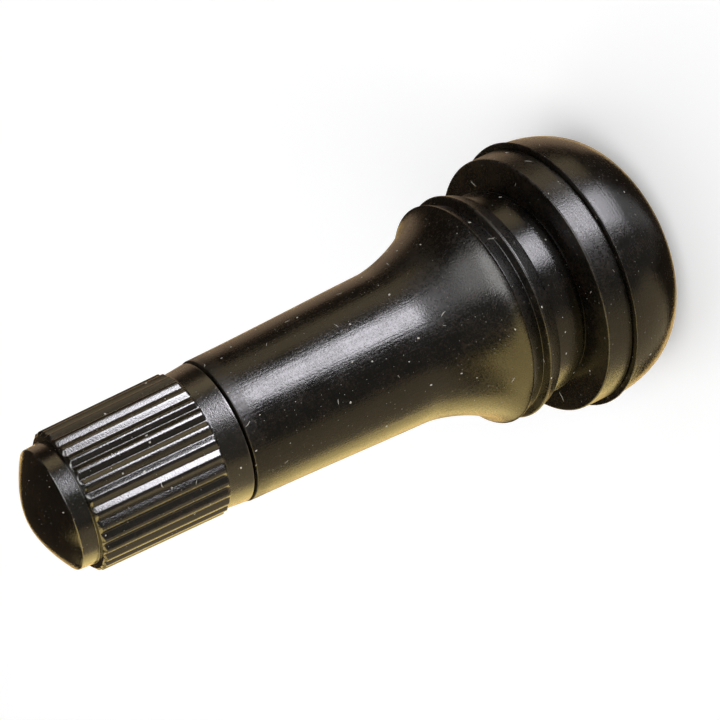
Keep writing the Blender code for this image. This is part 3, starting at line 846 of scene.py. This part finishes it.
def rib_heights(land_share):
    """Angles round the cap, and for each the rib's height and edge value from 0 to 1.

    With x the distance from the middle of a groove, as a share of the way to the edge of the land,
    the height is the smooth smaller of x and 1, and x is rounded off at the bottom of the groove.
    """
    count = bpy.context.scene.valve_cap.ribs
    root_round, land_round, edge_width = 0.05, 0.09, 0.14
    half = np.array([0.0, 0.05, 0.14, 0.42, 0.62, 0.70, 0.76, 0.84])
    across = np.concatenate([half, [1.0], 2.0 - half[:0:-1]])
    x = (1.0 - np.abs(across - 1.0)) / (1.0 - land_share)
    x = np.sqrt(x * x + root_round**2) - root_round
    height = (1.0 + x - np.sqrt((1.0 - x) ** 2 + land_round**2)) / 2
    height = (height - height.min()) / (height.max() - height.min())
    edge = np.exp(-(((x - 1.0) / edge_width) ** 2))
    pitch = TAU / count
    angles = (np.arange(count)[:, None] * pitch + (across[None] - 1.0) * pitch / 2).ravel()
    return angles, np.tile(height, count), np.tile(edge, count)


def cap_shell(rib_height, land_share):
    """Shell of the cap: its outline turned about Z, with ribs added to the radius.

    Each point of the outline has a rib share from its height, which rises from 0 to 1 behind the
    ribs and falls to 0 at their front ends, and the radius is r + share * rib_height * height(a).
    """
    dome = power_dome(CAP_EDGE_R, cap_top_z, CAP_EDGE_Z, CAP_DOME_POWER, 26)
    line = rounded(
        (CAP_MOUTH_R, CAP_BOTTOM_Z, 0.08 * MM),
        (COLLAR_R, CAP_BOTTOM_Z, 0.12 * MM),
        (COLLAR_TOP_R, COLLAR_TOP_Z - 0.02 * MM, 0.05 * MM),
        (RIB_ROOT_REAR_R, COLLAR_TOP_Z, 0.03 * MM),
        (RIB_ROOT_FRONT_R, RIB_END_Z, 0.05 * MM),
        (CAP_BAND_R, RIB_END_Z + 0.02 * MM, 0.05 * MM),
        (*dome[0], 0.05 * MM),
        *dome[1:-1],
        (0.0, cap_top_z),
        (0.0, CAP_CEILING_Z),
        (CAP_CHAMBER_R, CAP_CEILING_Z, 0.15 * MM),
        (CAP_CHAMBER_R, CAP_SHOULDER_Z, 0.05 * MM),
        (CAP_BORE_R, CAP_SHOULDER_Z - 0.3 * MM, 0.10 * MM),
        (CAP_BORE_R, CAP_BOTTOM_Z + 0.9 * MM, 0.15 * MM),
        (CAP_MOUTH_R, CAP_BOTTOM_Z + 0.55 * MM, 0.10 * MM),
    )
    edge = edge_share(line)
    outer_tip, inner_tip = np.flatnonzero(line[:, 0] <= ON_AXIS)[[0, -1]]
    order = np.r_[inner_tip + 1 : len(line), 0:outer_tip]
    line, edge = line[order], edge[order]
    outside = len(order) - outer_tip
    after = outside + np.argmax(line[outside:, 1] >= COLLAR_TOP_Z + 0.04 * MM)
    until = outside + np.argmax(line[outside:, 1] >= RIB_END_Z - 0.02 * MM)
    levels = [COLLAR_TOP_Z + RIB_ROWS, RIB_MIDDLE, RIB_END_Z - RIB_ROWS[::-1]]
    levels = np.concatenate(levels)
    slope = (RIB_ROOT_FRONT_R - RIB_ROOT_REAR_R) / (RIB_END_Z - COLLAR_TOP_Z)
    wall = np.stack([RIB_ROOT_REAR_R + slope * (levels - COLLAR_TOP_Z), levels], 1)
    line = np.concatenate([line[:after], wall, line[until:]])
    edge = np.concatenate([edge[:after], np.zeros(len(wall)), edge[until:]])
    r, z = line[:, :1], line[:, 1:]
    share = smooth_step((z - COLLAR_TOP_Z) / RIB_FADE) * smooth_step((RIB_END_Z - z) / RIB_FADE)
    share = share * (r > CAP_MOUTH_R)
    angles, heights, rib_edges = rib_heights(land_share)
    radius = r + share * rib_height * heights[None]
    worn = np.maximum(edge[:, None], share * rib_edges[None])
    tips = ((0, (0.0, 0.0, CAP_CEILING_Z)), (-1, (0.0, 0.0, cap_top_z)))
    return shell(about_axis(radius, angles, z), worn, tips=tips)


class RubberSettings(bpy.types.PropertyGroup):
    """Finish of the moulded rubber."""

    colour: bpy.props.FloatVectorProperty(
        name="Colour",
        description="Colour of the clean rubber",
        subtype="COLOR",
        size=3,
        min=0.0,
        max=1.0,
        default=(0.0048, 0.0038, 0.0027),
    )
    roughness: bpy.props.FloatProperty(
        name="Roughness", description="Dullness of the rubber", min=0.1, max=1.0, default=0.17
    )
    grain: bpy.props.FloatProperty(
        name="Grain",
        description="Size of the moulded grain",
        unit="LENGTH",
        precision=6,
        min=0.00002,
        max=0.001,
        default=0.00012,
    )
    dust: bpy.props.FloatProperty(
        name="Dust", description="Amount of dust and lint", min=0.0, max=3.0, default=1.0
    )


class CapSettings(bpy.types.PropertyGroup):
    """Ribs and finish of the screw cap."""

    colour: bpy.props.FloatVectorProperty(
        name="Colour",
        description="Colour of the clean plastic",
        subtype="COLOR",
        size=3,
        min=0.0,
        max=1.0,
        default=(0.0042, 0.0033, 0.0024),
    )
    roughness: bpy.props.FloatProperty(
        name="Roughness", description="Dullness of the plastic", min=0.1, max=1.0, default=0.105
    )
    ribs: bpy.props.IntProperty(
        name="Ribs", description="Number of ribs round the cap", min=8, max=60, default=31
    )
    rib_height: bpy.props.FloatProperty(
        name="Rib Height",
        description="Height of a rib above its groove",
        unit="LENGTH",
        precision=5,
        min=0.00005,
        max=0.0004,
        default=0.0002,
    )
    land_share: bpy.props.FloatProperty(
        name="Land",
        description="Share of the pitch that is flat on top",
        min=0.1,
        max=0.6,
        default=0.26,
    )


class MetalSettings(bpy.types.PropertyGroup):
    """Finish of the brass and steel pieces."""

    brass: bpy.props.FloatVectorProperty(
        name="Brass",
        description="Colour of clean brass",
        subtype="COLOR",
        size=3,
        min=0.0,
        max=1.0,
        default=(0.55, 0.43, 0.22),
    )
    steel: bpy.props.FloatVectorProperty(
        name="Steel",
        description="Colour of clean steel",
        subtype="COLOR",
        size=3,
        min=0.0,
        max=1.0,
        default=(0.55, 0.54, 0.53),
    )


class StageSettings(bpy.types.PropertyGroup):
    """Floor, light and background."""

    floor: bpy.props.FloatVectorProperty(
        name="Floor",
        description="Colour of the floor",
        subtype="COLOR",
        size=3,
        min=0.0,
        max=1.0,
        default=(0.80, 0.80, 0.80),
    )
    room: bpy.props.FloatProperty(
        name="Room Light", description="Soft light from all round", min=0.0, max=2.0, default=0.4
    )
    key: bpy.props.FloatProperty(
        name="Window",
        description="Brightness of the window in the gloss",
        min=0.0,
        max=100.0,
        default=20.0,
    )


def rubber_finish():
    """The rubber's finish, from its settings."""
    given = bpy.context.scene.valve_rubber
    streaks = (
        (0.00016, 0.005, FLARE_Z + 1.0 * MM, STEM_ROOT_Z - 1.0 * MM),
        (0.004, 0.00011, NECK_Z, FLANGE_Z),
    )
    zones = (
        (stem_mouth_z - 1.6 * MM, stem_mouth_z - 0.4 * MM, 0.14),
        (LIP_Z + 0.1 * MM, LIP_Z - 0.3 * MM, -0.07),
        (FLANGE_Z + 0.05 * MM, FLANGE_Z + 0.2 * MM, -0.07),
        (NECK_Z, NECK_Z + 0.1 * MM, 0.11),
        (FLARE_Z - 0.2 * MM, FLARE_Z + 0.1 * MM, -0.04),
        (FLARE_Z + 8.0 * MM, FLARE_Z + 4.0 * MM, 0.07),
    )
    look = (tuple(given.colour), RUBBER_GLOSS, given.roughness, given.grain, given.dust)
    return finish_named("moulded rubber", moulded_material, *look, RUBBER_WORN, streaks, zones)


def plastic_finish():
    """The cap's finish, from its settings."""
    given = bpy.context.scene.valve_cap
    zones = ((COLLAR_TOP_Z + 0.1 * MM, COLLAR_TOP_Z - 0.1 * MM, 0.09),)
    look = (tuple(given.colour), PLASTIC_GLOSS, given.roughness, 0.00008, 0.7)
    return finish_named("cap plastic", moulded_material, *look, PLASTIC_WORN, (), zones)


def brass_finish():
    """The brass finish, from the metal settings."""
    clean = tuple(bpy.context.scene.valve_metal.brass)
    return finish_named("turned brass", metal_material, clean, BRASS_TARNISH, 0.32, 0.06 * MM)


def steel_finish():
    """The steel finish, from the metal settings."""
    clean = tuple(bpy.context.scene.valve_metal.steel)
    return finish_named("drawn steel", metal_material, clean, STEEL_TARNISH, 0.26, 0.04 * MM)


def seal_finish():
    """The black finish of the two seals."""
    return finish_named("sealing rubber", soft_material, SEAL_BLACK, 0.6)


class VALVE_OT_rubber(bpy.types.Operator):
    """Build the moulded rubber body."""

    bl_idname = "valve.rubber"
    bl_label = "Rubber Body"

    def execute(self, context):
        """Turn the rubber's outline."""
        ripple = (CRACK_R - 0.1 * MM, LIP_Z + 0.04 * MM, CRACK_RIPPLE)
        shells = [turned(rubber_outline(), ripple=ripple)]
        make_piece("moulded_rubber", shells, rubber_finish(), "stem", "rubber", "rubber_body")
        return {"FINISHED"}


class VALVE_OT_barrel(bpy.types.Operator):
    """Build the brass barrel with its outer and inner threads."""

    bl_idname = "valve.barrel"
    bl_label = "Barrel"

    def execute(self, context):
        """Turn the barrel's outline, and carry its two threads along their helices."""
        body = turned(barrel_outline(), MIDDLE_STEPS)
        root_r = THREAD_ROOT_R - THREAD_SINK
        outer = thread_ridge(
            THREAD_ROOT_R,
            THREAD_CREST_R,
            THREAD_PITCH,
            THREAD_FIRST_Z,
            barrel_top_z - 0.40 * MM,
            THREAD_CREST_WIDTH,
            limit=lambda z: np.maximum(BARREL_MOUTH_R + (barrel_top_z - z), root_r),
        )
        inner = thread_ridge(
            CORE_BORE_R,
            CORE_BORE_R - CORE_THREAD_DEPTH,
            CORE_THREAD_PITCH,
            CORE_THREAD_Z,
            barrel_top_z - 0.45 * MM,
            CORE_CREST_WIDTH,
        )
        shells = [body, outer, inner]
        make_piece("threaded_barrel", shells, brass_finish(), "stem", "brass", "barrel")
        return {"FINISHED"}


class VALVE_OT_core(bpy.types.Operator):
    """Build the fixed pieces of the core: plug, tube and gasket."""

    bl_idname = "valve.core"
    bl_label = "Core Plug, Tube and Gasket"

    def execute(self, context):
        """Turn the three pieces, and give the plug its thread and its bridge."""
        low = plug_low.z
        ring = rounded(
            (PLUG_ROOT_R, low, 0.1 * MM),
            (PLUG_ROOT_R, PLUG_RIM_Z, 0.12 * MM),
            (PLUG_BORE_R, PLUG_RIM_Z, 0.08 * MM),
            (PLUG_BORE_R, low, 0.08 * MM),
        )
        thread = thread_ridge(
            PLUG_ROOT_R,
            PLUG_CREST_R,
            CORE_THREAD_PITCH,
            CORE_THREAD_Z,
            PLUG_RIM_Z - 0.30 * MM,
            CORE_CREST_WIDTH,
            phase=0.5,
        )
        bridge = block_with_hole(
            BRIDGE_HALF_LENGTH,
            BRIDGE_HALF_WIDTH,
            PLUG_RIM_Z - 0.6 * MM,
            plug_high.z,
            PIN_HOLE_R,
            0.14 * MM,
        )
        shells = [turned(ring, CORE_STEPS), thread, bridge]
        make_piece("screw_plug", shells, brass_finish(), "stem", "brass", "core_plug")
        bottom, top = tube_low.z, tube_high.z
        neck, shelf = top - 0.2 * MM, spring_low.z - 0.15 * MM
        tube_line = rounded(
            (TUBE_R, bottom, 0.12 * MM),
            (TUBE_R, neck - 1.5 * MM, 0.05 * MM),
            (TUBE_NECK_R, neck - 1.5 * MM, 0.03 * MM),
            (TUBE_NECK_R, neck, 0.03 * MM),
            (TUBE_HEAD_R, neck, 0.04 * MM),
            (TUBE_HEAD_R, top, 0.06 * MM),
            (TUBE_BORE_R, top, 0.06 * MM),
            (TUBE_BORE_R, shelf, 0.05 * MM),
            (PIN_HOLE_R, shelf, 0.05 * MM),
            (PIN_HOLE_R, bottom, 0.05 * MM),
        )
        shells = [turned(tube_line, CORE_STEPS)]
        make_piece("core_tube", shells, brass_finish(), "stem", "brass", "core_barrel")
        hole, wall = TUBE_NECK_R + 0.03 * MM, gasket_high.x
        low, high = gasket_low.z, gasket_high.z
        ring = rounded(
            (hole, low, 0.04 * MM),
            (LOWER_BORE_R, low, 0.12 * MM),
            ((LOWER_BORE_R + wall) / 2 + 0.03 * MM, (low + high) / 2, 0.3 * MM),
            (wall, high, 0.12 * MM),
            (hole, high, 0.04 * MM),
        )
        red = finish_named("red gasket", soft_material, GASKET_RED, 0.45)
        shells = [turned(ring, CORE_STEPS)]
        make_piece("cone_gasket", shells, red, "stem", "gasket", "core_gasket")
        return {"FINISHED"}


class VALVE_OT_pin(bpy.types.Operator):
    """Build what moves when the pin is pressed: pin, spring, cup and plunger seal."""

    bl_idname = "valve.pin"
    bl_label = "Pin, Spring and Plunger"

    def execute(self, context):
        """Turn the pin, cup and seal, and carry the spring's wire along its helix."""
        low, high = pin_low.z, pin_high.z
        collar_low, collar_high = spring_high.z + 0.15 * MM, spring_high.z + 0.55 * MM
        pin = rounded(
            (0.0, low),
            (PIN_HEAD_R, low, 0.12 * MM),
            (PIN_HEAD_R, low + PIN_HEAD_HEIGHT, 0.05 * MM),
            (PIN_R, low + PIN_HEAD_HEIGHT, 0.03 * MM),
            (PIN_R, collar_low, 0.03 * MM),
            (pin_high.x, collar_low, 0.05 * MM),
            (pin_high.x, collar_high, 0.08 * MM),
            (PIN_R, collar_high, 0.05 * MM),
            (PIN_R, high - 0.18 * MM, 0.12 * MM),
            (0.5 * PIN_R, high, 0.10 * MM),
            (0.0, high),
        )
        shells = [turned(cut_at_axis(pin), CORE_STEPS, closed=False)]
        make_piece("valve_pin", shells, steel_finish(), "pin", "steel", "core_pin")
        mean_r = spring_high.x - WIRE_R
        length = spring_high.z - spring_low.z
        share = np.linspace(0.0, 1.0, SPRING_TURNS * SPRING_STEPS + 1)
        ends = SPRING_END_SHARE
        even = np.clip((share - ends) / (1.0 - 2.0 * ends), 0.0, 1.0)
        soft = smooth_step((share - 0.6 * ends) / (1.0 - 1.2 * ends))
        a = TAU * SPRING_TURNS * share
        height = spring_low.z + WIRE_R + (length - 2 * WIRE_R) * (0.65 * even + 0.35 * soft)
        shells = [tube(about_axis(mean_r, a, height), WIRE_R)]
        spring = make_piece("return_spring", shells, steel_finish(), "stem", "steel", "core_spring")
        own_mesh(spring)
        hole = PIN_R + 0.02 * MM
        seal_r = plunger_high.x
        ring = rounded(
            (hole, plunger_low.z, 0.04 * MM),
            (seal_r, plunger_low.z, 0.05 * MM),
            (seal_r, plunger_high.z, 0.12 * MM),
            (hole + 0.18 * MM, plunger_high.z, 0.12 * MM),
            (hole, plunger_high.z - 0.08 * MM, 0.04 * MM),
        )
        shells = [turned(ring, CORE_STEPS)]
        make_piece("plunger_ring", shells, seal_finish(), "pin", "seal_rubber", "plunger_seal")
        floor_z = plunger_low.z - 0.02 * MM
        cup = rounded(
            (hole, cup_low.z, 0.04 * MM),
            (cup_high.x, cup_low.z, 0.14 * MM),
            (cup_high.x, cup_high.z, 0.05 * MM),
            (seal_r + 0.02 * MM, cup_high.z, 0.05 * MM),
            (seal_r + 0.02 * MM, floor_z, 0.04 * MM),
            (hole, floor_z, 0.04 * MM),
        )
        shells = [turned(cup, CORE_STEPS)]
        make_piece("pressed_cup", shells, brass_finish(), "pin", "brass", "plunger_cup")
        return {"FINISHED"}


class VALVE_OT_cap(bpy.types.Operator):
    """Build the screw cap, its inner thread and its flat seal."""

    bl_idname = "valve.cap"
    bl_label = "Cap and Seal"

    def execute(self, context):
        """Work out the ribbed shell and its thread, and turn the seal."""
        given = context.scene.valve_cap
        thread = thread_ridge(
            CAP_BORE_R,
            CAP_THREAD_CREST_R,
            THREAD_PITCH,
            THREAD_FIRST_Z,
            CAP_SHOULDER_Z - 0.75 * MM,
            THREAD_CREST_WIDTH,
            phase=0.5,
        )
        shells = [cap_shell(given.rib_height, given.land_share), thread]
        make_piece("screw_cap", shells, plastic_finish(), "cap", "cap_plastic", "cap")
        low, high = seal_low.z, seal_high.z
        seal_r = seal_high.x
        disc = rounded(
            (0.0, low),
            (SEAL_PAD_R, low, 0.06 * MM),
            (SEAL_DISH_R, low + 0.08 * MM, 0.05 * MM),
            (SEAL_RIM_R, low + 0.08 * MM, 0.05 * MM),
            (seal_r, low + 0.02 * MM, 0.08 * MM),
            (seal_r, high, 0.12 * MM),
            (0.0, high),
        )
        shells = [turned(cut_at_axis(disc), MIDDLE_STEPS, closed=False)]
        make_piece("flat_seal", shells, seal_finish(), "cap_seal", "seal_rubber", "cap_seal")
        return {"FINISHED"}


def seen_share(tree):
    """1 for camera, glossy and transmission rays, and 0 for the rest."""
    path = node(tree, "ShaderNodeLightPath").outputs
    seen = math(tree, "MAXIMUM", path["Is Camera Ray"], path["Is Glossy Ray"])
    return math(tree, "MAXIMUM", seen, path["Is Transmission Ray"])


def clear_tree(made):
    """The node tree of a new material or world, emptied."""
    made.use_nodes = True
    made.node_tree.nodes.clear()
    return made.node_tree


def turn_to(made, right, back, place):
    """Place an object with its X to the right and its Z to the back."""
    turn = np.eye(4)
    turn[:3, 0], turn[:3, 1], turn[:3, 2] = right, np.cross(back, right), back
    turn[:3, 3] = place
    made.matrix_world = Matrix(turn.tolist())


def make_world(strength):
    """A world that is white where it is seen and a soft neutral light elsewhere."""
    world = bpy.data.worlds.new("white room")
    bpy.context.scene.world = world
    tree = clear_tree(world)
    kind = "ShaderNodeBackground"
    lit = node(tree, kind, (("Color", (*ROOM_COLOUR, 1.0)), ("Strength", strength)))
    white = node(tree, kind, (("Color", (1.0, 1.0, 1.0, 1.0)), ("Strength", 1.0)))
    inputs = ((0, seen_share(tree)), (1, lit.outputs[0]), (2, white.outputs[0]))
    mixed = node(tree, "ShaderNodeMixShader", inputs)
    node(tree, "ShaderNodeOutputWorld", (("Surface", mixed.outputs[0]),))


def make_floor(colour):
    """A pale floor that keeps the valve's shadow, and is lifted to white where it is seen."""
    side = np.array([-FLOOR_HALF, FLOOR_HALF])
    x, y = np.meshgrid(side, side)
    points = np.stack([x, y, np.full_like(x, FLOOR_Z)], -1).reshape(-1, 3)
    mesh = bpy.data.meshes.new("floor")
    mesh.from_pydata(points.tolist(), [], [(0, 1, 3, 2)])
    made = bpy.data.materials.new("pale floor")
    tree = clear_tree(made)
    base = node(tree, "ShaderNodeBsdfDiffuse", (("Color", (*colour, 1.0)),))
    lift = math(tree, "MULTIPLY", seen_share(tree), FLOOR_LIFT)
    glow = node(tree, "ShaderNodeEmission", (("Strength", lift),))
    both = node(tree, "ShaderNodeAddShader", ((0, base.outputs[0]), (1, glow.outputs[0])))
    node(tree, "ShaderNodeOutputMaterial", (("Surface", both.outputs[0]),))
    mesh.materials.append(made)
    floor = link_object("floor", mesh)
    floor.visible_shadow = False
    floor.visible_glossy = False


def make_backdrop():
    """A brown backdrop round the valve, which only glossy rays meet.

    It is part of a sphere about the valve's middle: the middle plus the radius times the direction
    at each azimuth and elevation. It is dark behind the valve, dim beside the camera and open at
    the window.
    """
    rows, cols = BACKDROP_GRID
    azimuth = np.linspace(BACKDROP_FROM, BACKDROP_TO, rows)[:, None]
    unit = direction(azimuth, np.linspace(-BACKDROP_TOP, BACKDROP_TOP, cols)[None])
    points = (BACKDROP_RADIUS * unit + np.array(VALVE_MIDDLE)).reshape(-1, 3)
    mesh = bpy.data.meshes.new("backdrop")
    faces = grid_faces(rows, cols, False, False)[:, ::-1]
    mesh.from_pydata(points.tolist(), [], faces.tolist())
    side = smooth_step((azimuth - BACKDROP_CHANGE) / BACKDROP_FADE)
    side = np.maximum(side, smooth_step(1.0 - (azimuth - BACKDROP_FROM) / BACKDROP_FADE))
    dim = mesh.attributes.new("dim", "FLOAT", "POINT")
    dim.data.foreach_set("value", np.repeat(side, cols).astype(np.float32))
    made = bpy.data.materials.new("dark backdrop")
    tree = clear_tree(made)
    share = node(tree, "ShaderNodeAttribute", attribute_name="dim").outputs["Fac"]
    shade = blend(tree, share, BACKDROP_DARK, BACKDROP_DIM)
    glow = node(tree, "ShaderNodeEmission", (("Color", shade), ("Strength", 1.0)))
    node(tree, "ShaderNodeOutputMaterial", (("Surface", glow.outputs[0]),))
    mesh.materials.append(made)
    backdrop = link_object("backdrop", mesh)
    backdrop.visible_camera = False
    backdrop.visible_diffuse = False
    backdrop.visible_shadow = False


def soft_box(name, azimuth, elevation, distance, size, strength, colour, gloss):
    """An area lamp that looks at the valve's middle from an azimuth and an elevation.

    Its first side is level. Its strength is the brightness of its face. It shows in glossy surfaces
    where gloss is set, and lights matt ones where it isn't.
    """
    back = direction(azimuth, elevation)
    level = np.cross((0.0, 0.0, 1.0), back)
    level /= np.linalg.norm(level)
    light = bpy.data.lights.new(name, "AREA")
    light.shape = "RECTANGLE"
    light.size, light.size_y = size
    light.energy = strength * np.pi * size[0] * size[1]
    light.color = colour
    lamp = link_object(name, light)
    turn_to(lamp, level, back, back * distance + np.array(VALVE_MIDDLE))
    lamp.visible_camera = False
    lamp.visible_glossy = gloss
    lamp.visible_diffuse = not gloss


def make_camera():
    """The camera, at the place and roll of the picture."""
    data = bpy.data.cameras.new("picture camera")
    data.lens = CAMERA_LENS
    data.sensor_width = 36.0
    data.clip_start, data.clip_end = 0.005, 10.0
    camera = link_object("picture camera", data)
    forward = np.array(CAMERA_FORWARD) / np.linalg.norm(CAMERA_FORWARD)
    right = np.cross(forward, CAMERA_UP)
    right /= np.linalg.norm(right)
    turn_to(camera, right, -forward, CAMERA_PLACE)
    bpy.context.scene.camera = camera


class VALVE_OT_stage(bpy.types.Operator):
    """Build the floor, the light, the background and the camera."""

    bl_idname = "valve.stage"
    bl_label = "Stage"

    def execute(self, context):
        """Make the stage from its settings."""
        given = context.scene.valve_stage
        make_world(given.room)
        make_floor(tuple(given.floor))
        make_backdrop()
        for name, azimuth, elevation, distance, size, share, colour in WINDOW:
            strength = share * given.key
            soft_box(name, azimuth, elevation, distance, size, strength, colour, gloss=True)
        for card in CARDS:
            soft_box(*card, gloss=True)
        for box in MATT_BOXES:
            soft_box(*box, gloss=False)
        make_camera()
        context.scene.view_settings.view_transform = "Standard"
        return {"FINISHED"}


SETTINGS = {
    "valve_rubber": RubberSettings,
    "valve_cap": CapSettings,
    "valve_metal": MetalSettings,
    "valve_stage": StageSettings,
}
OPERATORS = (
    VALVE_OT_rubber,
    VALVE_OT_barrel,
    VALVE_OT_core,
    VALVE_OT_pin,
    VALVE_OT_cap,
    VALVE_OT_stage,
)


class VALVE_PT_panel(bpy.types.Panel):
    """Lists the settings and the operators."""

    bl_idname = "VALVE_PT_panel"
    bl_label = "Tyre Valve"
    bl_space_type = "VIEW_3D"
    bl_region_type = "UI"
    bl_category = "Valve"

    def draw(self, context):
        """Draw the settings of each group, and then the operators in order."""
        for group in SETTINGS:
            box = self.layout.box()
            settings = getattr(context.scene, group)
            for name in settings.__annotations__:
                box.prop(settings, name)
        for operator in OPERATORS:
            self.layout.operator(operator.bl_idname)


CLASSES = (*SETTINGS.values(), *OPERATORS, VALVE_PT_panel)


def register():
    """Register the classes and the scene's settings."""
    for made in CLASSES:
        bpy.utils.register_class(made)
    for name, group in SETTINGS.items():
        setattr(bpy.types.Scene, name, bpy.props.PointerProperty(type=group))


def unregister():
    """Remove the settings and the classes."""
    for name in SETTINGS:
        delattr(bpy.types.Scene, name)
    for made in reversed(CLASSES):
        bpy.utils.unregister_class(made)


def main():
    """Build every piece and the stage."""
    register()
    for operator in OPERATORS:
        getattr(bpy.ops.valve, operator.bl_idname.split(".")[1])()


if __name__ == "__main__":
    main()
